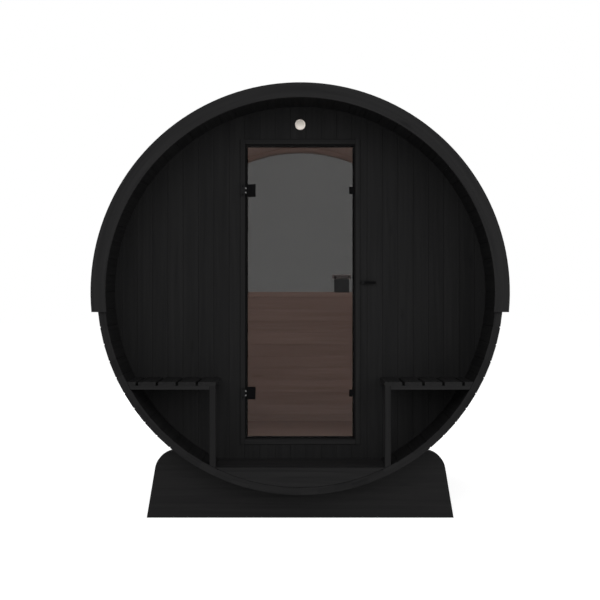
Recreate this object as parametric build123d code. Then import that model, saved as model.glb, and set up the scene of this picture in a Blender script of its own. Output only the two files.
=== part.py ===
"""Barrel sauna on two cradles: staved shell, roof over the upper half, porch with benches, glass door.

Millimetres. X runs to the right seen from the front, Y from the porch to the rear, Z up from the
ground. The origin is on the ground under the middle of the barrel.
"""

import os
from math import cos, radians, sin, sqrt

from build123d import *

# Fits shared by all pieces
fit = 0.3  # pieces that seat on a round or faceted face
running_fit = 0.1  # pin in its bore, on the radius
door_clearance = 5.0  # moving pieces from fixed ones
overrun = 50.0  # cuts reach this far past what they cut

# Barrel of flat staves
barrel_length = 2400.0
barrel_radius = 1120.0  # axis to the outer flats
stave_thickness = 42.0
staves_per_group = 6
stave_groups = ("top", "shoulder", "upper_side", "side", "lower_side", "haunch", "bottom")
stave_bevel = 5.0  # along each outer flat beside a joint
croze_depth = 12.0  # groove in the staves that holds an end wall
ground_clearance = 165.0  # ground to the barrel's underside

# Hoops
hoop_width = 30.0
hoop_thickness = 1.5

# Cradles
cradle_base_width = 1747.0
cradle_shoulder_width = 1619.0
cradle_wrap = 218.0  # shoulders above the barrel's underside
cradle_shoulder_radius = 117.0
cradle_thickness = 58.0
cradle_setback = 200.0  # from the barrel's rim

# Roof
roof_thickness = 29.0
roof_drop = 111.0  # lower edges below the axis
roof_panels = ("crown", "upper", "side", "eave")
eave_batten_height = 20.0
fascia_thickness = 20.0
fascia_lip = 5.0  # fascia stands over the roof's face
fascia_lap = 5.0  # fascia reaches inside the staves

# End walls
wall_thickness = 42.0
porch_depth = 358.0  # rim to the front wall
rear_overhang = 60.0  # rear wall to the rim

# Floors
floor_rise = 108.0  # floor above the lowest stave
floor_thickness = 21.0
front_board_thickness = 22.0

# Door frame
frame_width = 698.0
frame_step = 83.0  # threshold above the floor
frame_headroom = 189.0  # staves over the head, at the middle
frame_face = 28.0
frame_proud = 8.0  # in front of the wall
frame_ease = 2.0
stop_lap = 3.5  # stop behind the glass edge

# Door leaf and hinges
glass_thickness = 8.0
glass_setback = 12.0  # behind the frame's face
hinge_inset = 258.0  # from the glass end to a hinge's middle
hinge_height = 73.0
hinge_reach = 49.5  # clamp plate over the glass
hinge_plate = 6.0
hinge_web = 2.5
hinge_play = 0.5
knuckle_radius = 4.0
knuckle_height = 16.0
knuckle_forward = 8.0  # pin in front of the glass
ear_height = 8.0
pin_radius = 2.0
leaf_margin = 3.0  # frame plate from the frame's outer edge
leaf_thickness = 5.0
bridge_width = 2.8
clip_height = 41.0
clip_reach = 24.0
clip_plate = 3.0

# Handles
handle_height = 1005.5  # above the floor
pull_width = 87.0
pull_height = 79.0
pull_edge = 25.0  # from the glass edge
pull_neck = 14.0  # finger room behind the head
pull_head = 16.0
pull_undercut = 12.0
pull_ease = 4.0
grip_length = 110.0
grip_height = 25.5
grip_depth = 24.0
grip_edge = 11.5  # from the glass edge
grip_rise = 54.0  # above the pull's middle
grip_ease = 5.0
standoff_radius = 7.0
standoff_length = 22.0
standoff_inset = 16.0

# Turn button beside the frame
button_height = 1025.0  # above the floor
button_length = 74.0  # pivot to tip
button_width = 14.0
button_thickness = 10.0
button_gap = 6.0  # in front of the frame's face
button_play = 1.0
boss_offset = 6.0  # from the door frame
boss_radius = 11.0
boss_pin_radius = 3.0
screw_radius = 8.0
screw_sides = 6
screw_thickness = 3.0

# Wall lamp
lamp_over_head = 85.0  # lamp's middle over the door frame
lamp_radius = 30.0
lamp_depth = 14.0
lamp_rim = 6.0
lamp_recess = 6.0
lens_rise = 2.0  # lens in front of the rim
lamp_ease = 3.0

# Porch benches
bench_aisle = 934.0  # between the benches
seat_height = 473.0  # above the floor
slat_width = 96.0
slat_gap = 14.5
slat_thickness = 21.0
slat_sliver = 20.0  # no slat narrower than this
slat_ease = 3.0
bench_rail_height = 21.0
bench_rail_depth = 34.0
wall_rail_depth = 21.0
post_width = 34.0
post_depth = 34.0
post_ease = 2.0

# Half-moon window
sill_thickness = 36.0
sill_nose = 12.0  # past each face of the wall
window_rim = 33.0
window_groove = 8.0
window_glass = 8.0

# Places that follow from the sizes
axis_height = ground_clearance + barrel_radius
inner_radius = barrel_radius - stave_thickness
group_count = 2 * (len(stave_groups) - 1)
stave_angle = 360 / (group_count * staves_per_group)
flat_cosine = cos(radians(stave_angle / 2))
rim_front = -barrel_length / 2
rim_rear = barrel_length / 2
front_wall_y = rim_front + porch_depth
front_wall_back = front_wall_y + wall_thickness
rear_wall_y = rim_rear - rear_overhang - wall_thickness
rear_wall_back = rear_wall_y + wall_thickness
wall_radius = inner_radius + croze_depth - fit
seat_radius = inner_radius - fit
floor_z = floor_rise - inner_radius
frame_half = frame_width / 2
frame_bottom = floor_z + frame_step
frame_top = inner_radius - frame_headroom
frame_front = front_wall_y - frame_proud
frame_inner = frame_half - frame_face
door_gap = hinge_web + 2 * knuckle_radius + 2 * hinge_play
glass_half = frame_inner - door_gap
glass_bottom = frame_bottom + frame_face + door_gap
glass_top = frame_top - frame_face - door_gap
glass_front = frame_front + glass_setback
glass_back = glass_front + glass_thickness
stop_inner = glass_half - stop_lap
stop_front = glass_back + hinge_plate + door_clearance
pin_x = -(glass_half + hinge_web + hinge_play + knuckle_radius)
pin_y = glass_front - knuckle_forward
hinge_levels = (glass_top - hinge_inset, glass_bottom + hinge_inset)
half_aisle = bench_aisle / 2
seat_top = floor_z + seat_height
seat_underside = seat_top - slat_thickness
hoop_places = (
    (front_wall_y + front_wall_back) / 2,
    (front_wall_back + rear_wall_y) / 2,
    (rear_wall_y + rear_wall_back) / 2,
)


# Drawing helpers: profiles lie in X and Z about the barrel's axis


def slab(profile, front, depth):
    """A profile made solid from the plane Y = front towards the rear."""
    plane = Plane(origin=(0, front + depth, axis_height), x_dir=(1, 0, 0), z_dir=(0, -1, 0))
    return extrude(plane * profile, amount=depth, dir=(0, -1, 0))


def region(x0, x1, z0, z1):
    """A rectangle between two X and two Z values."""
    return Pos((x0 + x1) / 2, (z0 + z1) / 2) * Rectangle(x1 - x0, z1 - z0)


def block(x0, x1, y0, y1, z0, z1):
    """A box between its limits, with Z from the barrel's axis."""
    centre = Pos((x0 + x1) / 2, (y0 + y1) / 2, axis_height + (z0 + z1) / 2)
    return centre * Box(x1 - x0, y1 - y0, z1 - z0)


def rod(radius, x, y, z0, z1):
    """An upright cylinder."""
    return Pos(x, y, axis_height + (z0 + z1) / 2) * Cylinder(radius, z1 - z0)


def stud(radius, x, z, front, depth):
    """A cylinder lying along Y."""
    return slab(Pos(x, z) * Circle(radius), front, depth)


def eased_bar(width, height, ease):
    """A bar's cross-section with its four corners taken off."""
    return chamfer(Rectangle(width, height).vertices(), ease)


def half_chord(radius, z):
    """Half the width of a circle at a height."""
    return sqrt(radius**2 - z**2)


def ray(radius, angle):
    """A point at an angle round the axis."""
    return Vector(radius * cos(radians(angle)), radius * sin(radians(angle)))


def joint_points(angle):
    """The V at a stave joint: the flat's end before it, its bottom, the flat's start after it."""
    corner = ray(barrel_radius / flat_cosine, angle)
    before = corner - ray(stave_bevel, angle - stave_angle / 2 + 90)
    after = corner + ray(stave_bevel, angle + stave_angle / 2 + 90)
    bottom = ray(barrel_radius / flat_cosine - stave_bevel, angle)
    return before, bottom, after


def group_angles(rank):
    """Middle angles of the stave groups that lie at one height, the right one first."""
    step = rank * 360 / group_count
    if rank == 0 or 2 * rank == group_count:
        return (90 - step,)
    return (90 - step, 90 + step)


def stave_profile(middle):
    """One group of staves seen along the axis."""
    first = middle - staves_per_group * stave_angle / 2
    outer = []
    inner = []
    for number in range(staves_per_group + 1):
        angle = first + number * stave_angle
        start = 1 if number == 0 else 0
        stop = 2 if number == staves_per_group else 3
        outer += joint_points(angle)[start:stop]
        inner.append(ray(inner_radius / flat_cosine, angle))
    return Polygon(*outer, *reversed(inner), align=None)


def faceted_disc(apothem):
    """A many-sided disc whose flats lie over the staves."""
    return RegularPolygon(apothem / flat_cosine, group_count * staves_per_group)


def roof_profile(middle):
    """One roof panel seen along the axis, with flats over the staves."""
    first = middle - staves_per_group * stave_angle / 2
    angles = [first + number * stave_angle for number in range(staves_per_group + 1)]
    under = [ray((barrel_radius + fit) / flat_cosine, angle) for angle in angles]
    over = [ray((barrel_radius + roof_thickness) / flat_cosine, angle) for angle in angles]
    return Polygon(*over, *reversed(under), align=None)


def mirrored(piece):
    """The same piece on the other side of the barrel."""
    return mirror(piece, Plane.YZ)


pieces = {}

# Staves, with the two grooves for the end walls
croze_width = wall_thickness + 2 * fit
crozes = [
    slab(faceted_disc(inner_radius + croze_depth), start - fit, croze_width)
    for start in (front_wall_y, rear_wall_y)
]
for rank, name in enumerate(stave_groups):
    solids = [
        slab(stave_profile(middle), rim_front, barrel_length) - crozes
        for middle in group_angles(rank)
    ]
    pieces["staves_" + name] = solids

# Hoops lie on the staves' flats
pieces["hoops"] = [
    slab(
        faceted_disc(barrel_radius + fit + hoop_thickness) - faceted_disc(barrel_radius + fit),
        place - hoop_width / 2,
        hoop_width,
    )
    for place in hoop_places
]

# Cradles, hollowed to the barrel
cradle_top = cradle_wrap - barrel_radius
cradle_outline = Polygon(
    (-cradle_base_width / 2, -axis_height),
    (cradle_base_width / 2, -axis_height),
    (cradle_shoulder_width / 2, cradle_top),
    (-cradle_shoulder_width / 2, cradle_top),
    align=None,
)
shoulders = cradle_outline.vertices().sort_by(Axis.Y)[2:]
cradle_outline = fillet(shoulders, cradle_shoulder_radius)
cradle_outline -= Circle(barrel_radius / flat_cosine + fit)
pieces["front_cradle"] = [slab(cradle_outline, rim_front + cradle_setback, cradle_thickness)]
pieces["rear_cradle"] = [
    slab(cradle_outline, rim_rear - cradle_setback - cradle_thickness, cradle_thickness)
]

# Roof panels, grooved over the hoops, with a batten along each lower edge
roof_radius = barrel_radius + roof_thickness
hoop_grooves = [
    slab(
        faceted_disc(barrel_radius + hoop_thickness + 2 * fit),
        place - hoop_width / 2 - fit,
        hoop_width + 2 * fit,
    )
    for place in hoop_places
]
roof_reach = roof_radius + overrun
eave_level = eave_batten_height - roof_drop
below_eave = slab(
    region(-roof_reach, roof_reach, -roof_reach, eave_level),
    rim_front - overrun,
    barrel_length + 2 * overrun,
)
below_roof = slab(
    region(-roof_reach, roof_reach, -roof_reach, -roof_drop),
    rim_front - overrun,
    barrel_length + 2 * overrun,
)
for rank, name in enumerate(roof_panels):
    solids = [
        slab(roof_profile(middle), rim_front, barrel_length) - hoop_grooves
        for middle in group_angles(rank)
    ]
    if rank == len(roof_panels) - 1:
        pieces["eave_battens"] = [(solid & below_eave) - below_roof for solid in solids]
        solids = [solid - below_eave for solid in solids]
    pieces["roof_" + name] = solids

# Fascias over the stave ends and the roof's ends
fascia_outline = Circle(roof_radius + fascia_lip) - Circle(inner_radius - fascia_lap)
fascia_outline -= region(-roof_reach, roof_reach, -roof_reach, -roof_drop)
pieces["front_fascia"] = [slab(fascia_outline, rim_front - fascia_thickness, fascia_thickness)]
pieces["rear_fascia"] = [slab(fascia_outline, rim_rear, fascia_thickness)]

# Front wall in four panels round the doorway
wall_disc = faceted_disc(wall_radius)
wall_reach = wall_radius + overrun
front_panels = {
    "front_wall_left": region(-wall_reach, -frame_half, -wall_reach, wall_reach),
    "front_wall_right": region(frame_half, wall_reach, -wall_reach, wall_reach),
    "front_wall_over_door": region(-frame_half, frame_half, frame_top, wall_reach),
    "front_wall_under_door": region(-frame_half, frame_half, -wall_reach, frame_bottom),
}
for name, cut in front_panels.items():
    pieces[name] = [slab(wall_disc & cut, front_wall_y, wall_thickness)]

# Door frame: each member has a face and a stop behind the glass
jamb = block(frame_inner, frame_half, frame_front, front_wall_back, frame_bottom, frame_top)
jamb += block(
    stop_inner, frame_inner, stop_front, front_wall_back,
    frame_bottom + frame_face, frame_top - frame_face,
)
jamb = chamfer(jamb.edges().filter_by(Axis.Z).group_by(Axis.Y)[0], frame_ease)
pieces["door_jamb_left"] = [mirrored(jamb)]
pieces["door_jamb_right"] = [jamb]


def cross_member(outer, inward):
    """Head or threshold between the jambs, its stop between their stops."""
    inner = outer + inward * frame_face
    lap = inner + inward * (door_gap + stop_lap)
    face = block(
        -frame_inner, frame_inner, frame_front, front_wall_back,
        min(outer, inner), max(outer, inner),
    )
    face = chamfer(face.edges().filter_by(Axis.X).group_by(Axis.Y)[0], frame_ease)
    stop = block(
        -stop_inner, stop_inner, stop_front, front_wall_back, min(inner, lap), max(inner, lap)
    )
    return face + stop


pieces["door_head"] = [cross_member(frame_top, -1)]
pieces["door_threshold"] = [cross_member(frame_bottom, 1)]

# Door leaf
pieces["door_glass"] = [
    block(-glass_half, glass_half, glass_front, glass_back, glass_bottom, glass_top)
]


def hinge_clamp(level):
    """The hinge's moving half: a channel round the glass edge and a bored knuckle."""
    low = level - hinge_height / 2
    high = level + hinge_height / 2
    channel = block(
        -glass_half - hinge_web, -glass_half + hinge_reach,
        glass_front - hinge_plate, glass_back + hinge_plate, low, high,
    )
    channel -= block(
        -glass_half, -glass_half + hinge_reach, glass_front, glass_back, low, high
    )
    low = level - knuckle_height / 2
    high = level + knuckle_height / 2
    tongue = block(pin_x, -glass_half, pin_y, pin_y + knuckle_radius, low, high)
    knuckle = rod(knuckle_radius, pin_x, pin_y, low, high)
    bore = rod(pin_radius + running_fit, pin_x, pin_y, low, high)
    return channel + tongue + knuckle - bore


def hinge_leaf(level):
    """The hinge's fixed half: a plate on the jamb, two ears and the pin."""
    plate_front = frame_front - leaf_thickness
    leaf = block(
        -frame_half + leaf_margin, -frame_inner, plate_front, frame_front,
        level - hinge_height / 2, level + hinge_height / 2,
    )
    near = knuckle_height / 2 + hinge_play
    far = near + ear_height
    for low, high in ((level + near, level + far), (level - far, level - near)):
        leaf += block(
            -frame_inner - frame_ease, -frame_inner + hinge_play + bridge_width,
            plate_front, frame_front, low, high,
        )
        leaf += block(
            -frame_inner + hinge_play, -frame_inner + hinge_play + bridge_width,
            plate_front, pin_y, low, high,
        )
        leaf += rod(knuckle_radius, pin_x, pin_y, low, high)
    return leaf + rod(pin_radius, pin_x, pin_y, level - far, level + far)


pieces["hinge_clamps"] = [hinge_clamp(level) for level in hinge_levels]
pieces["hinge_leaves"] = [hinge_leaf(level) for level in hinge_levels]


def edge_clip(level):
    """A clip round the glass edge on the closing side."""
    low = level - clip_height / 2
    high = level + clip_height / 2
    clip = block(
        glass_half - clip_reach, glass_half + clip_plate,
        glass_front - clip_plate, glass_back + clip_plate, low, high,
    )
    return clip - block(glass_half - clip_reach, glass_half, glass_front, glass_back, low, high)


pieces["door_clips"] = [edge_clip(level) for level in hinge_levels]

# Square pull on the outside, undercut for the fingers
handle_z = floor_z + handle_height
pull_right = glass_half - pull_edge
pull_left = pull_right - pull_width
neck_front = glass_front - pull_neck
pull_low = handle_z - pull_height / 2
pull_high = handle_z + pull_height / 2
head = block(pull_left, pull_right, neck_front - pull_head, neck_front, pull_low, pull_high)
head = chamfer(head.edges().group_by(Axis.Y)[0] + head.edges().filter_by(Axis.Y), pull_ease)
neck = block(
    pull_left + pull_undercut, pull_right - pull_undercut, neck_front, glass_front,
    pull_low + pull_undercut, pull_high - pull_undercut,
)
pieces["door_pull"] = [head + neck]

# Wooden bar on the inside, on two standoffs
grip_z = handle_z + grip_rise
grip_right = glass_half - grip_edge
grip_left = grip_right - grip_length
grip_front = glass_back + standoff_length
bar = block(
    grip_left, grip_right, grip_front, grip_front + grip_depth,
    grip_z - grip_height / 2, grip_z + grip_height / 2,
)
bar = chamfer(bar.edges().filter_by(Axis.X), grip_ease)
pieces["door_grip"] = [
    bar
    + stud(standoff_radius, grip_left + standoff_inset, grip_z, glass_back, standoff_length)
    + stud(standoff_radius, grip_right - standoff_inset, grip_z, glass_back, standoff_length)
]

# Turn button, shown turned away from the door
button_z = floor_z + button_height
button_x = frame_half + boss_offset + boss_radius
button_back = frame_front - button_gap
boss_front = button_back + button_play
button_front = button_back - button_thickness
button_profile = Pos(button_x, button_z) * Circle(button_width / 2)
button_profile += region(
    button_x, button_x + button_length, button_z - button_width / 2, button_z + button_width / 2
)
button_profile -= Pos(button_x, button_z) * Circle(boss_pin_radius + running_fit)
pieces["turn_button"] = [slab(button_profile, button_front, button_thickness)]
screw_back = button_front - button_play
pivot = stud(boss_radius, button_x, button_z, boss_front, front_wall_y - boss_front)
pivot += stud(boss_pin_radius, button_x, button_z, screw_back, boss_front - screw_back)
screw_head = Pos(button_x, button_z) * RegularPolygon(screw_radius, screw_sides)
pivot += slab(screw_head, screw_back - screw_thickness, screw_thickness)
pieces["turn_button_pivot"] = [pivot]

# Round lamp over the door
lamp_z = frame_top + lamp_over_head
lamp_front = front_wall_y - lamp_depth
lens_radius = lamp_radius - lamp_rim
trim = stud(lamp_radius, 0, lamp_z, lamp_front, lamp_depth)
trim = chamfer(trim.edges().group_by(Axis.Y)[0], lamp_ease)
trim -= stud(lens_radius, 0, lamp_z, lamp_front, lamp_recess)
pieces["lamp_trim"] = [trim]
pieces["lamp_lens"] = [
    stud(lens_radius - fit, 0, lamp_z, lamp_front - lens_rise, lamp_recess + lens_rise)
]

# Floors rest on the staves
room_disc = faceted_disc(seat_radius)
floor_under = floor_z - floor_thickness
floor_outline = room_disc & region(-seat_radius, seat_radius, floor_under, floor_z)
pieces["porch_floor"] = [slab(floor_outline, rim_front, porch_depth)]
pieces["room_floor"] = [slab(floor_outline, front_wall_back, rear_wall_y - front_wall_back)]
front_board_outline = room_disc & region(-seat_radius, seat_radius, -seat_radius, floor_under)
pieces["porch_floor_front"] = [slab(front_board_outline, rim_front, front_board_thickness)]

# Porch benches, drawn on the right and mirrored
seat_slats = []
slat_start = half_aisle
while slat_start + slat_sliver < half_chord(seat_radius, seat_underside):
    slat = Pos(slat_start + slat_width / 2, seat_top - slat_thickness / 2) * eased_bar(
        slat_width, slat_thickness, slat_ease
    )
    seat_slats.append(slab(slat & room_disc, rim_front, porch_depth))
    slat_start += slat_width + slat_gap
pieces["bench_seat_left"] = [mirrored(slat) for slat in seat_slats]
pieces["bench_seat_right"] = seat_slats

rail_low = seat_underside - bench_rail_height
post_outer = half_aisle + post_width
rail = slab(
    region(post_outer, seat_radius, rail_low, seat_underside) & room_disc,
    rim_front,
    bench_rail_depth,
)
pieces["bench_front_rails"] = [mirrored(rail), rail]
wall_rail = slab(
    region(half_aisle, seat_radius, rail_low, seat_underside) & room_disc,
    front_wall_y - wall_rail_depth,
    wall_rail_depth,
)
pieces["bench_wall_rails"] = [mirrored(wall_rail), wall_rail]
post = slab(
    region(half_aisle, post_outer, floor_z, seat_underside) & room_disc, rim_front, post_depth
)
post = chamfer(post.edges().filter_by(Axis.Z), post_ease)
pieces["bench_posts"] = [mirrored(post), post]

# Rear wall: boards below the axis, sill, half-moon window above
lower_half = region(-wall_reach, wall_reach, -wall_reach, -sill_thickness)
pieces["rear_wall"] = [slab(wall_disc & lower_half, rear_wall_y, wall_thickness)]
sill_band = region(-wall_reach, wall_reach, -sill_thickness, 0)
sill = slab(wall_disc & sill_band, rear_wall_y, wall_thickness)
sill += slab(room_disc & sill_band, rear_wall_y - sill_nose, wall_thickness + 2 * sill_nose)
pieces["window_sill"] = [sill]
upper_half = region(-wall_reach, wall_reach, 0, wall_reach)
sight_radius = inner_radius - window_rim
glass_radius = sight_radius + window_groove
pane_front = rear_wall_y + (wall_thickness - window_glass) / 2
sight = faceted_disc(sight_radius)
window_frame = slab((wall_disc - sight) & upper_half, rear_wall_y, wall_thickness)
window_frame -= slab(faceted_disc(glass_radius), pane_front - fit, window_glass + 2 * fit)
pieces["window_frame"] = [window_frame]
pieces["window_glass"] = [
    slab(faceted_disc(glass_radius - fit) & upper_half, pane_front, window_glass)
]

os.makedirs("parts", exist_ok=True)
for name, solids in pieces.items():
    node = solids[0] if len(solids) == 1 else Compound(solids)
    export_step(node, os.path.join("parts", name + ".step"))
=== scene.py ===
"""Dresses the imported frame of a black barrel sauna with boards, shingles, screws and finishes."""

import math

import bmesh
import bpy
from bpy.props import FloatProperty, FloatVectorProperty, IntProperty, PointerProperty
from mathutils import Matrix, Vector


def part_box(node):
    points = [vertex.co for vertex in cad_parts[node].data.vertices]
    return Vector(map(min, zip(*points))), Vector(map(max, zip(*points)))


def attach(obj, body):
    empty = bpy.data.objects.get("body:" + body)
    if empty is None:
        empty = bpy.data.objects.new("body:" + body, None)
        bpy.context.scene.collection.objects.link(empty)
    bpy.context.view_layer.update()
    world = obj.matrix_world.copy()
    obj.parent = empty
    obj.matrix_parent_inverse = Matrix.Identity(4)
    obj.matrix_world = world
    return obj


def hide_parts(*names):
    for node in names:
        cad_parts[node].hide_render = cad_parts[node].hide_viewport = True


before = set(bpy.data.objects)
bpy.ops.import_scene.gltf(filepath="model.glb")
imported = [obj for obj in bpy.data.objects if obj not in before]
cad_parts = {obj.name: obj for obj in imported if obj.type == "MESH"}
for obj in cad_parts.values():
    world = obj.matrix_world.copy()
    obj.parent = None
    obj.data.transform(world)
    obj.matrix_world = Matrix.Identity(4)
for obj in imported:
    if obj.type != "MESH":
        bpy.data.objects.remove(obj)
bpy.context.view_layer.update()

bl_info = {
    "name": "Barrel sauna",
    "version": (1, 0, 0),
    "blender": (4, 5, 0),
    "location": "View3D > Sidebar > Sauna",
    "description": "Staves, boards, shingles, screws and finishes of a black barrel sauna",
    "category": "Object",
}


def nodes_named(start):
    """The frame's nodes whose names start alike."""
    return [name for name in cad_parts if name.startswith(start)]


# Staves round the barrel, as the frame's flats show them
stave_count = 72

# Places read from the frame, in metres
top_low, top_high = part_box("staves_top")
wall_low, wall_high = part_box("front_wall_left")
rear_low, rear_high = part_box("rear_wall")
rim_front = top_low.y
rim_rear = top_high.y
axis_height = (top_high.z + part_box("staves_bottom")[0].z) / 2
barrel_radius = top_high.z - axis_height
roof_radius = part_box("roof_crown")[1].z - axis_height
fascia_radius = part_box("front_fascia")[1].z - axis_height
front_wall_front = wall_low.y
front_wall_back = wall_high.y
rear_wall_front = rear_low.y
rear_wall_back = rear_high.y
wall_radius = -wall_low.x * math.cos(math.pi / stave_count)
eave_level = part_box("roof_eave")[0].z - axis_height


# Sizes and colours that a user would change


def length(name, description, default):
    """A size in metres."""
    return FloatProperty(
        name=name, description=description, default=default, subtype="DISTANCE", precision=4
    )


def ratio(name, description, default, least=0.0):
    """A share or another plain number."""
    return FloatProperty(name=name, description=description, default=default, min=least)


def whole(name, description, default, least=0):
    """A count or a seed."""
    return IntProperty(name=name, description=description, default=default, min=least)


def power(name, description, default):
    """The power of a lamp in watts."""
    return FloatProperty(name=name, description=description, default=default, min=0, unit="POWER")


def colour(name, description, default):
    """A linear colour."""
    return FloatVectorProperty(
        name=name, description=description, default=default, subtype="COLOR", size=3, min=0, max=1
    )


class SaunaBarrelSizes(bpy.types.PropertyGroup):
    """Staves of the barrel."""

    staves: whole("Staves", "Staves round the barrel", stave_count, 24)
    thickness: length("Stave thickness", "Thickness of a stave", 0.042)
    outer_bevel: length("Outer bevel", "Bevel beside a joint on the outside", 0.005)
    inner_bevel: length("Inner bevel", "Bevel beside a joint on the inside", 0.0025)
    end_ease: length("Eased end", "Ease on the ends of a stave", 0.0012)
    croze: length("Groove", "Depth of the groove that holds an end wall", 0.012)
    seed: whole("Seed", "Order of the stave tones", 5)


class SaunaBoardSizes(bpy.types.PropertyGroup):
    """Boards of the end walls and the floors, slats of the benches."""

    pitch: length("Board pitch", "Face width of a wall board", 0.0894)
    joint_place: length("Joint place", "One joint of the front wall, from the middle", 0.033)
    groove_width: length("Groove width", "Half width of the V between two boards", 0.002)
    groove_depth: length("Groove depth", "Depth of the V between two boards", 0.0017)
    floor_pitch: length("Floor pitch", "Width of a floor board with its gap", 0.0895)
    floor_gap: length("Floor gap", "Gap between two floor boards", 0.003)
    floor_ease: length("Floor ease", "Eased edge of a floor board", 0.003)
    slat: length("Slat", "Width of a bench slat", 0.096)
    slat_gap: length("Slat gap", "Gap between two bench slats", 0.0145)
    seed: whole("Seed", "Order of the board tones", 11)


class SaunaRoofSizes(bpy.types.PropertyGroup):
    """Shingles and ridge caps of the roof."""

    courses: whole("Courses", "Courses on each side", 12, 4)
    tabs: whole("Tabs", "Tabs along a course", 7, 2)
    butt: length("Butt", "Height of a tab's lower edge over the roof", 0.0042)
    sheet: length("Sheet", "Thickness of a shingle", 0.003)
    taper: ratio("Taper", "Share of its height that a shingle loses towards its upper edge", 0.93)
    slot: length("Slot", "Gap between two tabs", 0.007)
    lap: length("Lap", "Length of a tab under the next course", 0.05)
    drip: length("Drip", "Reach of the first course past the panels", 0.004)
    caps: whole("Caps", "Caps along the ridge", 16, 4)
    cap_width: length("Cap width", "Width of a ridge cap", 0.26)
    cap_cover: ratio("Cap cover", "Share of a cap's width from the ridge to the last course", 0.45)
    cap_lap: ratio("Cap lap", "Share of a cap's exposure that lies under the next cap", 0.3)
    cap_sheet: length("Cap sheet", "Thickness of a ridge cap", 0.0021)
    cap_fall: length("Cap fall", "Fall of a cap from its butt to its far edge", 0.0022)
    cap_room: length("Cap room", "Room between a cap's butt and the fascia's edge", 0.0008)
    seed: whole("Seed", "Order of the shingle tones", 23)


class SaunaFittingSizes(bpy.types.PropertyGroup):
    """Screws, hinges and seals."""

    bench_screw: length("Bench screw", "Head radius of a bench screw", 0.0045)
    hinge_screw: length("Hinge screw", "Head radius of a hinge screw", 0.0042)
    screw_rise: length("Screw rise", "Height of a screw head", 0.0012)
    hinge_height: length("Hinge height", "Height of a hinge plate", 0.073)
    hinge_screw_place: length("Hinge screw place", "Screw from the hinge's middle", 0.024)
    leaf_screw_inset: length("Leaf screw inset", "Screw from the frame plate's edge", 0.0125)
    clamp_screw_inset: length("Clamp screw inset", "Screw from the glass plate's edge", 0.022)
    clamp_plate: length("Clamp plate", "Thickness of the plate on the glass", 0.006)
    knuckle: length("Knuckle", "Width of a hinge knuckle", 0.008)
    seal_width: length("Seal width", "Width of the seal on the door stop", 0.006)
    seal_gap: length("Seal gap", "Room between the seal and the glass", 0.0006)
    stop_gap: length("Stop gap", "Room between the glass and the door stop", 0.011)
    window_rim: length("Window rim", "Width of the window's wooden ring", 0.0447)
    window_seal: length("Window bead", "Width of the bead round the window", 0.011)
    window_seal_rise: length("Window bead rise", "Height of the bead round the window", 0.003)
    seed: whole("Seed", "Order of the screw turns", 3)


class SaunaFinishes(bpy.types.PropertyGroup):
    """Colours of the finishes."""

    stain_dark: colour("Stain, dark", "Darkest grain of the black stain", (0.0045, 0.0045, 0.0048))
    stain_light: colour("Stain, light", "Lightest grain of the black stain", (0.014, 0.0138, 0.0139))
    wall_dark: colour("Wall, dark", "Darkest grain of the front wall", (0.0043, 0.0043, 0.0045))
    wall_light: colour("Wall, light", "Lightest grain of the front wall", (0.0093, 0.0092, 0.0093))
    cradle_dark: colour("Cradle, dark", "Darkest grain of a cradle", (0.0035, 0.0035, 0.0038))
    cradle_light: colour("Cradle, light", "Lightest grain of a cradle", (0.0085, 0.0083, 0.0083))
    # Overhang shade: a darker copy of the black stain, painted shade on the staves' inner faces over
    # the porch and past the rear wall
    sheltered_dark: colour(
        "Sheltered, dark", "Darkest grain of the staves over the porch", (0.003, 0.003, 0.0032)
    )
    sheltered_light: colour(
        "Sheltered, light", "Lightest grain of the staves over the porch", (0.009, 0.0089, 0.009)
    )
    room_dark: colour("Room wood, dark", "Darkest grain in the room", (0.19, 0.124, 0.1))
    room_light: colour("Room wood, light", "Lightest grain in the room", (0.44, 0.327, 0.29))
    # Brightened grip: the grip's pale wood made paler still, painted light for the light that the
    # tinted glass in front of it holds back
    grip_dark: colour("Grip, dark", "Darkest grain of the wooden grip", (0.6, 0.5, 0.49))
    grip_light: colour("Grip, light", "Lightest grain of the wooden grip", (0.88, 0.77, 0.76))
    roofing_dark: colour("Roofing, dark", "Dark granules of the shingles", (0.006, 0.006, 0.0065))
    roofing_light: colour("Roofing, light", "Pale granules of the shingles", (0.03, 0.03, 0.032))
    metal_dark: colour("Metal, dark", "Dark parts of the black fittings", (0.001, 0.001, 0.0011))
    metal_light: colour("Metal, light", "Worn parts of the black fittings", (0.0026, 0.0026, 0.0028))
    steel_dark: colour("Steel, dark", "Dark parts of the painted steel", (0.0025, 0.0025, 0.0027))
    steel_light: colour("Steel, light", "Worn parts of the painted steel", (0.007, 0.007, 0.0073))
    pull_dark: colour("Pull, dark", "Dark parts of the door pull", (0.004, 0.004, 0.0042))
    pull_light: colour("Pull, light", "Worn parts of the door pull", (0.009, 0.009, 0.0092))
    enamel: colour("Enamel", "Rim of the lamp", (0.73, 0.66, 0.61))
    # Opal: the lens's top, greyer than its lower edge as painted shade
    opal: colour("Opal", "Lens of the lamp", (0.38, 0.35, 0.31))
    sealant: colour("Sealant", "Bead round the window", (0.27, 0.205, 0.18))
    tint: colour("Glass tint", "Tint of the glass", (0.273, 0.272, 0.27))
    # Knuckle colour: a flat pale grey on the hinge knuckles, painted highlight that stands for the
    # shine of bare steel
    knuckle: colour("Knuckles", "Bare steel of the hinge knuckles", (0.13, 0.13, 0.13))
    rubber: colour("Rubber", "Seal of the door", (0.004, 0.004, 0.0042))


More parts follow.
